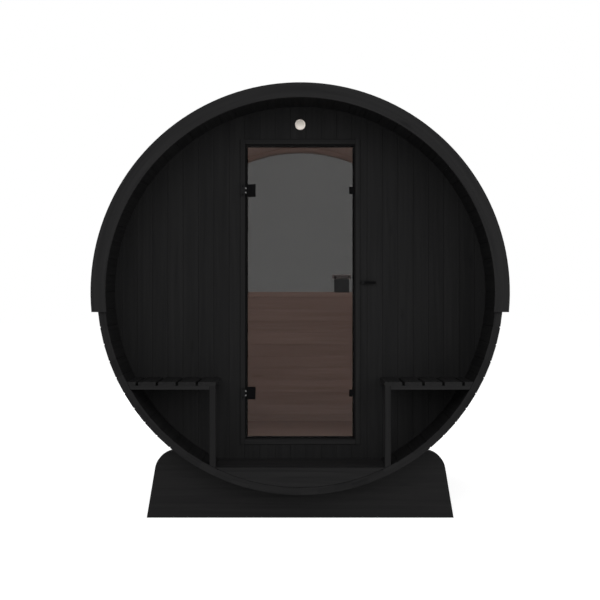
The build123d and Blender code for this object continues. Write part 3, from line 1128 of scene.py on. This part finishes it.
def window_seal_mesh(sizes, staves):
    """A bead on the room side of the window's arch, bent at the stave joints."""
    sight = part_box("window_frame")[1].x - sizes.window_rim
    back = rear_wall_front
    rise = sizes.window_seal_rise
    wide = sizes.window_seal
    section = [
        (sight, back), (sight, back - rise / 2), (sight + wide / 4, back - rise),
        (sight + wide * 3 / 4, back - rise), (sight + wide, back - rise / 2), (sight + wide, back),
    ]
    bm = bmesh.new()
    rings = []
    for step in range(staves // 2 + 1):
        angle = 2 * math.pi * step / staves
        rings.append([
            bm.verts.new((reach * math.cos(angle), y, axis_height + reach * math.sin(angle)))
            for reach, y in section
        ])
    skin(bm, rings)
    return mesh_of("window_seal", bm)


class SAUNA_OT_window(bpy.types.Operator):
    """Finishes the half-moon window in the rear wall and sets its bead"""

    bl_idname = "sauna.window"
    bl_label = "Rear window"

    def execute(self, context):
        paint(window_wood("Window ring", ring_grain), "window_frame")
        paint(window_wood("Window sill", straight_grain("X")), "window_sill")
        paint(tinted_glass(), "window_glass")
        sizes = context.scene.sauna_fittings
        seal = linked("window_seal", window_seal_mesh(sizes, context.scene.sauna_barrel.staves))
        seal.data.materials.append(window_sealant())
        settle(seal, "building", "black_metal")
        return {"FINISHED"}


# Floors


def floor_board_mesh(node, width, ease):
    """One floor board, cut at its ends to the barrel's curve, with its top edges eased."""
    low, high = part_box(node)
    barrel = math.hypot(high.x, axis_height - high.z)
    bm = bmesh.new()
    rings = []
    for level, inset in ((low.z, 0.0), (high.z - ease, 0.0), (high.z, ease)):
        reach = math.sqrt(barrel**2 - (axis_height - level) ** 2)
        half = width / 2 - inset
        corners = ((-reach, -half), (reach, -half), (reach, half), (-reach, half))
        rings.append([bm.verts.new((x, y, level)) for x, y in corners])
    skin(bm, rings)
    mark_grain(bm, 0)
    return mesh_of("floor_board", bm)


class SAUNA_OT_floors(bpy.types.Operator):
    """Lays the boards of the porch and the room"""

    bl_idname = "sauna.floors"
    bl_label = "Floors"

    def execute(self, context):
        sizes = context.scene.sauna_boards
        floors = (
            ("porch_floor", black_stain("Stained boards", board_grain), "black_wood"),
            ("room_floor", room_wood("Room floor boards", board_grain), "room_wood"),
        )
        for node, finish, slot in floors:
            low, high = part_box(node)
            count = round((high.y - low.y) / sizes.floor_pitch)
            pitch = (high.y - low.y) / count
            board = floor_board_mesh(node, pitch - sizes.floor_gap, sizes.floor_ease)
            floor = row_of(node + "_boards", board, count, pitch, low.y, 0.0, sizes.seed, finish)
            settle(floor, "building", slot, node)
        paint(black_stain("Stained across", straight_grain("X")), "porch_floor_front")
        return {"FINISHED"}


# Roof

tab_strips = 4  # flats along a tab
cap_strips = 6  # flats across a cap
number_per_course = 40.0  # keeps the tabs' numbers of one course apart from the next
courses_per_side = 50.0  # and those of one side from the other


def bent_plate(name, angles, start, stop, under, over):
    """A closed plate bent round the axis, from start to stop along it, between two radii."""
    bm = bmesh.new()
    rings = []
    for angle in angles:
        corners = (
            (under(angle, start), start), (under(angle, stop), stop),
            (over(angle, stop), stop), (over(angle, start), start),
        )
        rings.append([
            bm.verts.new((reach * math.cos(angle), y, reach * math.sin(angle))) for reach, y in corners
        ])
    skin(bm, rings)
    return mesh_of(name, bm)


def half_tab_mesh(sizes, exposure, width, slot_at_start):
    """Half a shingle tab, its butt at the right of the barrel, with its slot at one end."""
    span = exposure + sizes.lap / roof_radius
    angles = [span * step / tab_strips for step in range(tab_strips + 1)]
    start = -width / 2 + (sizes.slot / 2 if slot_at_start else 0)
    stop = width / 2 - (0 if slot_at_start else sizes.slot / 2)

    def over(angle, y):
        return roof_radius + sizes.butt * (1 - sizes.taper * angle / span)

    def under(angle, y):
        return over(angle, y) - sizes.sheet * (1 - sizes.taper * angle / span)

    return bent_plate("half_tab", angles, start, stop, under, over)


def cap_mesh(sizes, exposure):
    """A ridge cap, bent over the crown, its butt towards the porch."""
    half = sizes.cap_width / 2 / roof_radius
    angles = [math.pi / 2 - half + 2 * half * step / cap_strips for step in range(cap_strips + 1)]
    reach = exposure * (1 + sizes.cap_lap)
    start = -exposure / 2

    def over(angle, y):
        return fascia_radius - sizes.cap_room - sizes.cap_fall * (y - start) / reach

    def under(angle, y):
        return over(angle, y) - sizes.cap_sheet

    return bent_plate("ridge_cap", angles, start, start + reach, under, over)


def shingle_tree():
    """Courses of half tabs from both eaves up, joints broken from course to course."""
    tree, given, result = shape_tree(
        "Shingle courses",
        {"First Half": "Object", "Second Half": "Object", "Courses": "Int", "Halves": "Int",
         "Half Width": "Float", "First Angle": "Float", "Exposure": "Float", "Axis Height": "Float",
         "Seed": "Int", "Granules": "Material"},
    )
    halves = given.outputs["Halves"]
    index = index_of(tree)
    per_side = maths(tree, "MULTIPLY", given.outputs["Courses"], halves)
    side = maths(tree, "FLOOR", maths(tree, "DIVIDE", index, per_side))
    rest = maths(tree, "MODULO", index, per_side)
    course = maths(tree, "FLOOR", maths(tree, "DIVIDE", rest, halves))
    column = maths(tree, "MODULO", rest, halves)
    middle = maths(tree, "DIVIDE", maths(tree, "SUBTRACT", halves, 1.0), 2.0)
    out = maths(tree, "SUBTRACT", column, middle)
    along = maths(tree, "MULTIPLY", out, given.outputs["Half Width"])
    risen = maths(tree, "MULTIPLY", course, given.outputs["Exposure"])
    angle = maths(tree, "ADD", given.outputs["First Angle"], risen)
    facing = maths(tree, "MULTIPLY", side, math.pi)
    place = vector(tree, 0.0, along, given.outputs["Axis Height"])
    points = points_at(tree, maths(tree, "MULTIPLY", per_side, 2.0), place)
    turn = euler(tree, y=maths(tree, "MULTIPLY", angle, -1.0), z=facing)
    odd = maths(tree, "MODULO", maths(tree, "ADD", maths(tree, "ADD", column, course), side), 2.0)
    even = maths(tree, "SUBTRACT", 1.0, odd)
    pair = maths(tree, "FLOOR", maths(tree, "DIVIDE", maths(tree, "ADD", column, odd), 2.0))
    row = maths(tree, "ADD", course, maths(tree, "MULTIPLY", side, courses_per_side))
    number = maths(tree, "ADD", pair, maths(tree, "MULTIPLY", row, number_per_course))
    joined = tree.nodes.new("GeometryNodeJoinGeometry")
    for name, chosen in (("First Half", even), ("Second Half", odd)):
        tab = object_shape(tree, given.outputs[name])
        copies = numbered_copies(tree, points, tab, turn, number, given.outputs["Seed"], chosen)
        tree.links.new(copies, joined.inputs[0])
    finished_copies(tree, result, joined.outputs[0], given.outputs["Granules"])
    return tree


class SAUNA_OT_roof(bpy.types.Operator):
    """Lays the shingles and the ridge caps"""

    bl_idname = "sauna.roof"
    bl_label = "Roof"

    def execute(self, context):
        sizes = context.scene.sauna_roof
        first = math.asin((eave_level - sizes.drip) / roof_radius)
        cap_edge = math.pi / 2 - sizes.cap_cover * sizes.cap_width / roof_radius
        exposure = (cap_edge - first) / sizes.courses
        width = (rim_rear - rim_front) / sizes.tabs / 2
        values = {
            "First Half": linked("first_half", half_tab_mesh(sizes, exposure, width, True)),
            "Second Half": linked("second_half", half_tab_mesh(sizes, exposure, width, False)),
            "Courses": sizes.courses,
            "Halves": 2 * sizes.tabs,
            "Half Width": width,
            "First Angle": first,
            "Exposure": exposure,
            "Axis Height": axis_height,
            "Seed": sizes.seed,
            "Granules": shingle_granules(),
        }
        shingles = grown("roof_shingles", shingle_tree(), values)
        settle(shingles, "building", "roofing")
        pitch = (rim_rear - rim_front) / (sizes.caps + sizes.cap_lap)
        caps = row_of(
            "ridge_caps", cap_mesh(sizes, pitch), sizes.caps, pitch, rim_front, axis_height,
            sizes.seed, shingle_granules(),
        )
        settle(caps, "building", "roofing")
        paint(roof_felt(), *nodes_named("roof_"))
        paint(black_stain("Stained along", straight_grain("Y")), "eave_battens")
        return {"FINISHED"}


class SAUNA_OT_fascias(bpy.types.Operator):
    """Finishes the fascias at both ends"""

    bl_idname = "sauna.fascias"
    bl_label = "Fascias"

    def execute(self, context):
        paint(black_stain("Stained ring", ring_grain, specular=0.08), "front_fascia", "rear_fascia")
        return {"FINISHED"}


class SAUNA_OT_cradles(bpy.types.Operator):
    """Finishes the cradles"""

    bl_idname = "sauna.cradles"
    bl_label = "Cradles"

    def execute(self, context):
        paint(cradle_stain("Cradle stain", straight_grain("X")), "front_cradle", "rear_cradle")
        return {"FINISHED"}


# Screws

# Rings of a screw head from its rim into its socket, as shares of its radius and its rise
screw_ring_shares = ((1, 0), (1, 0.45), (0.82, 1), (0.45, 1), (0.38, 0.3))
screw_sides = 12

# Screws across a whole slat and across a cut one, as shares of its width
slat_screw_shares = (0.22, 0.78)
cut_slat_screw_shares = (0.5,)


def screw_mesh(radius, rise):
    """A screw head with an eased rim and a socket."""
    angles = [2 * math.pi * step / screw_sides for step in range(screw_sides)]
    bm = bmesh.new()
    rings = []
    for reach_share, rise_share in screw_ring_shares:
        reach = reach_share * radius
        rings.append([
            bm.verts.new((reach * math.cos(angle), reach * math.sin(angle), rise_share * rise))
            for angle in angles
        ])
    skin(bm, rings)
    return mesh_of("screw", bm)


def screw_tree():
    """Screws on points, turned to face outwards."""
    tree, given, result = shape_tree(
        "Screws",
        {"Geometry": "Geometry", "Screw": "Object", "Facing": "Vector", "Seed": "Int",
         "Metal": "Material"},
    )
    index = index_of(tree)
    seed = given.outputs["Seed"]
    random = add(
        tree, "FunctionNodeRandomValue", {random_limit: 2 * math.pi, "ID": index, "Seed": seed},
        data_type="FLOAT",
    )
    spin = euler(tree, z=random.outputs[1])
    turn = add(
        tree, "FunctionNodeAlignRotationToVector",
        {"Rotation": spin, "Vector": given.outputs["Facing"]}, axis="Z",
    ).outputs[0]
    screw = object_shape(tree, given.outputs["Screw"])
    copies = numbered_copies(tree, given.outputs["Geometry"], screw, turn, index, seed)
    finished_copies(tree, result, copies, given.outputs["Metal"])
    return tree


def screws(name, body, places, facing, radius):
    """Screw heads at places on one body."""
    sizes = bpy.context.scene.sauna_fittings
    spots = bpy.data.meshes.new(name)
    spots.from_pydata(places, [], [])
    tree = bpy.data.node_groups.get("Screws") or screw_tree()
    values = {
        "Screw": linked("screw", screw_mesh(radius, sizes.screw_rise)),
        "Facing": facing,
        "Seed": sizes.seed,
        "Metal": black_metal(),
    }
    piece = grown(name, tree, values, spots)
    settle(piece, body, "black_metal")


class SAUNA_OT_benches(bpy.types.Operator):
    """Finishes the porch benches and screws their slats down"""

    bl_idname = "sauna.benches"
    bl_label = "Porch benches"

    def execute(self, context):
        sizes = context.scene.sauna_boards
        low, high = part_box("bench_seat_right")
        pitch = sizes.slat + sizes.slat_gap
        rails = ("bench_front_rails", "bench_wall_rails")
        slat_grain = straight_grain("Y", pitch, low.x - sizes.slat_gap / 2)
        paint(black_stain("Stained slats", slat_grain), "bench_seat_left", "bench_seat_right")
        paint(black_stain("Stained across", straight_grain("X")), *rails)
        paint(wall_stain("Stained posts", straight_grain("Z")), "bench_posts")
        rows = [(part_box(rail)[0].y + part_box(rail)[1].y) / 2 for rail in rails]
        places = []
        start = low.x
        while start < high.x:
            width = min(sizes.slat, high.x - start)
            shares = slat_screw_shares if width == sizes.slat else cut_slat_screw_shares
            for share in shares:
                for y in rows:
                    for side in (-1, 1):
                        places.append((side * (start + share * width), y, high.z))
            start += pitch
        radius = context.scene.sauna_fittings.bench_screw
        screws("bench_screws", "building", places, (0, 0, 1), radius)
        return {"FINISHED"}


# Door

# Nose of the door's seal, from its root round to the other side, as shares of its half width
nose_shares = ((-1, 1), (-0.7, 0.3), (0, 0), (0.7, 0.3), (1, 1))


def seal_mesh(sizes):
    """A rubber seal round the door stop, with a rounded nose towards the glass."""
    glass_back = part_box("door_glass")[1].y
    back = glass_back + sizes.stop_gap
    front = glass_back + sizes.seal_gap
    half = sizes.seal_width / 2
    nose = [(out * half, front + behind * half) for out, behind in nose_shares]
    section = [(-half, back), *nose, (half, back)]
    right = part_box("door_jamb_right")[0].x + half
    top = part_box("door_head")[0].z + half
    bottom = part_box("door_threshold")[1].z - half
    bm = bmesh.new()
    skin(bm, [
        [bm.verts.new((side * (right + out), y, level + upward * out)) for out, y in section]
        for side, level, upward in ((-1, bottom, -1), (1, bottom, -1), (1, top, 1), (-1, top, 1))
    ], looped=True)
    return mesh_of("door_seal", bm)


def hinge_screws(sizes):
    """Two screws through each hinge plate, on the frame and on the glass."""
    leaf_low, leaf_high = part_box("hinge_leaves")
    half = sizes.hinge_height / 2
    levels = [
        level + side * sizes.hinge_screw_place
        for level in (leaf_low.z + half, leaf_high.z - half)
        for side in (-1, 1)
    ]
    clamp_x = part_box("hinge_clamps")[1].x - sizes.clamp_screw_inset
    clamp_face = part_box("door_glass")[0].y - sizes.clamp_plate
    rows = (
        ("hinge_leaf_screws", "building", leaf_low.x + sizes.leaf_screw_inset, leaf_low.y),
        ("hinge_clamp_screws", "door", clamp_x, clamp_face),
    )
    for name, body, x, y in rows:
        screws(name, body, [(x, y, level) for level in levels], (0, -1, 0), sizes.hinge_screw)


class SAUNA_OT_door(bpy.types.Operator):
    """Finishes the door, its frame and its fittings"""

    bl_idname = "sauna.door"
    bl_label = "Door"

    def execute(self, context):
        sizes = context.scene.sauna_fittings
        paint(wall_stain("Stained jambs", straight_grain("Z")), "door_jamb_left", "door_jamb_right")
        paint(wall_stain("Stained head", straight_grain("X")), "door_head")
        paint(black_stain("Stained across", straight_grain("X")), "door_threshold")
        paint(tinted_glass(), "door_glass")
        paint(black_metal(), "hinge_clamps", "door_clips")
        paint(hinge_steel_and_highlight(), "hinge_leaves")
        paint(pull_metal(), "door_pull")
        paint(brightened_grip_wood("Grip wood", straight_grain("X")), "door_grip")
        seal = linked("door_seal", seal_mesh(sizes))
        seal.data.materials.append(rubber_seal())
        settle(seal, "building", "black_metal")
        hinge_screws(sizes)
        return {"FINISHED"}


class SAUNA_OT_turn_button(bpy.types.Operator):
    """Finishes the turn button beside the door"""

    bl_idname = "sauna.turn_button"
    bl_label = "Turn button"

    def execute(self, context):
        # Painted shade: the button's darkest black stands for the line of shadow under it as well as
        # for its own paint
        paint(black_metal(), "turn_button")
        paint(painted_steel(), "turn_button_pivot")
        return {"FINISHED"}


class SAUNA_OT_lamp(bpy.types.Operator):
    """Finishes the lamp over the door"""

    bl_idname = "sauna.lamp"
    bl_label = "Lamp"

    def execute(self, context):
        paint(lamp_enamel(), "lamp_trim")
        paint(lamp_opal_with_shade(), "lamp_lens")
        return {"FINISHED"}


# Stage

# Each lamp's place, aim, width and height, in metres
middle = (0, 0, axis_height)
lamps = {
    "key": ((-0.9, -7.0, 3.2), middle, 4.5, 4.5),
    "fill": ((4.6, -6.0, 2.2), middle, 4.0, 4.0),
    "back": ((-1.5, 7.0, 4.6), middle, 4.5, 4.5),
    "ceiling": ((0, 0.35, 1.4), (0, 0.6, 2.3), 1.0, 0.5),
    "room": ((0, -0.5, 1.95), (0, 1.1, 0.28), 1.2, 0.4),
    "wall": ((0, -0.7, 0.6), (0, 1.1, 0.6), 0.9, 0.4),
}

white = (1, 1, 1, 1)
floor_grey = (0.5, 0.5, 0.5, 1)  # the floor that throws light on the object
shadow_grey = (0.42, 0.42, 0.42, 1)  # the floor that is seen, which takes the shadow
floor_glow = 0.8  # what makes that floor white
floor_squares = 4


def seen_directly(tree):
    """One for what the camera sees, straight, mirrored or through glass."""
    path = add(tree, "ShaderNodeLightPath").outputs
    seen = maths(tree, "MAXIMUM", path["Is Camera Ray"], path["Is Glossy Ray"])
    return maths(tree, "MAXIMUM", seen, path["Is Transmission Ray"])


def emptied_tree(owner):
    """The node tree of a material or a world, with nothing in it."""
    owner.use_nodes = True
    owner.node_tree.nodes.clear()
    return owner.node_tree


def seen_mix(tree, unseen, seen):
    """One shader for the light on the object and another for what the camera sees."""
    inputs = {0: seen_directly(tree), 1: unseen, 2: seen}
    return add(tree, "ShaderNodeMixShader", inputs).outputs[0]


def studio_floor_finish():
    """Pale floor, white to the camera but for the shadow on it."""
    material = bpy.data.materials.new("Studio floor")
    tree = emptied_tree(material)
    grey = add(tree, "ShaderNodeBsdfDiffuse", {"Color": floor_grey}).outputs[0]
    shadow = add(tree, "ShaderNodeBsdfDiffuse", {"Color": shadow_grey}).outputs[0]
    glow = add(tree, "ShaderNodeEmission", {"Color": white, "Strength": floor_glow}).outputs[0]
    pale = add(tree, "ShaderNodeAddShader", {0: shadow, 1: glow}).outputs[0]
    add(tree, "ShaderNodeOutputMaterial", {"Surface": seen_mix(tree, grey, pale)})
    return material


def white_world(ambient):
    """White to the camera, a soft grey light on the object."""
    world = bpy.data.worlds.new("Studio")
    tree = emptied_tree(world)
    soft, plain = (
        add(tree, "ShaderNodeBackground", {"Color": white, "Strength": strength}).outputs[0]
        for strength in (ambient, 1.0)
    )
    add(tree, "ShaderNodeOutputWorld", {"Surface": seen_mix(tree, soft, plain)})
    return world


def soft_lamp(name, place, aim, watts, width, height):
    """A large soft lamp that isn't seen itself."""
    light = bpy.data.lights.new(name, "AREA")
    light.shape = "RECTANGLE"
    light.size = width
    light.size_y = height
    light.energy = watts
    lamp = bpy.data.objects.new(name, light)
    lamp.location = place
    direction = Vector(aim) - Vector(place)
    lamp.rotation_euler = direction.to_track_quat("-Z", "Y").to_euler()
    lamp.visible_camera = False
    lamp.visible_glossy = False
    lamp.visible_transmission = False
    bpy.context.scene.collection.objects.link(lamp)


class SAUNA_OT_stage(bpy.types.Operator):
    """Sets the floor, the light and the camera"""

    bl_idname = "sauna.stage"
    bl_label = "Stage"

    def execute(self, context):
        scene = context.scene
        stage = scene.sauna_stage
        bm = bmesh.new()
        bmesh.ops.create_grid(
            bm, x_segments=floor_squares, y_segments=floor_squares, size=stage.floor_size / 2
        )
        floor = linked("studio_floor", mesh_of("studio_floor", bm))
        floor.data.materials.append(studio_floor_finish())
        scene.world = white_world(stage.ambient)
        for name, (place, aim, width, height) in lamps.items():
            soft_lamp(name + "_lamp", place, aim, getattr(stage, name), width, height)
        camera_data = bpy.data.cameras.new("camera")
        camera_data.lens = stage.focal_length
        camera_data.sensor_width = stage.sensor
        camera_data.shift_x = -stage.drift
        camera_data.shift_y = -stage.drop
        camera = bpy.data.objects.new("camera", camera_data)
        camera.location = (0, rim_front - stage.distance, axis_height)
        camera.rotation_euler = (math.pi / 2, 0, 0)
        scene.collection.objects.link(camera)
        scene.camera = camera
        scene.view_settings.view_transform = "Standard"
        return {"FINISHED"}


# Panel and registration

operators = (
    SAUNA_OT_staves,
    SAUNA_OT_hoops,
    SAUNA_OT_front_wall,
    SAUNA_OT_rear_wall,
    SAUNA_OT_window,
    SAUNA_OT_floors,
    SAUNA_OT_benches,
    SAUNA_OT_roof,
    SAUNA_OT_fascias,
    SAUNA_OT_cradles,
    SAUNA_OT_door,
    SAUNA_OT_turn_button,
    SAUNA_OT_lamp,
    SAUNA_OT_stage,
)

setting_groups = {
    "sauna_barrel": SaunaBarrelSizes,
    "sauna_boards": SaunaBoardSizes,
    "sauna_roof": SaunaRoofSizes,
    "sauna_fittings": SaunaFittingSizes,
    "sauna_finishes": SaunaFinishes,
    "sauna_stage": SaunaStage,
}


class SAUNA_PT_panel(bpy.types.Panel):
    """Sizes, colours and pieces of the sauna"""

    bl_idname = "SAUNA_PT_panel"
    bl_label = "Barrel sauna"
    bl_space_type = "VIEW_3D"
    bl_region_type = "UI"
    bl_category = "Sauna"

    def draw(self, context):
        for name in setting_groups:
            box = self.layout.box()
            group = getattr(context.scene, name)
            for key in group.__annotations__:
                box.prop(group, key)
        for operator in operators:
            self.layout.operator(operator.bl_idname)


def register():
    """Adds the classes and the scene's settings."""
    for name, group in setting_groups.items():
        bpy.utils.register_class(group)
        setattr(bpy.types.Scene, name, PointerProperty(type=group))
    for operator in operators:
        bpy.utils.register_class(operator)
    bpy.utils.register_class(SAUNA_PT_panel)


def unregister():
    """Takes the classes and the scene's settings away."""
    bpy.utils.unregister_class(SAUNA_PT_panel)
    for operator in reversed(operators):
        bpy.utils.unregister_class(operator)
    for name, group in reversed(setting_groups.items()):
        delattr(bpy.types.Scene, name)
        bpy.utils.unregister_class(group)


def main():
    """Makes every piece in order."""
    register()
    bpy.ops.sauna.staves()
    bpy.ops.sauna.hoops()
    bpy.ops.sauna.front_wall()
    bpy.ops.sauna.rear_wall()
    bpy.ops.sauna.window()
    bpy.ops.sauna.floors()
    bpy.ops.sauna.benches()
    bpy.ops.sauna.roof()
    bpy.ops.sauna.fascias()
    bpy.ops.sauna.cradles()
    bpy.ops.sauna.door()
    bpy.ops.sauna.turn_button()
    bpy.ops.sauna.lamp()
    bpy.ops.sauna.stage()


if __name__ == "__main__":
    main()
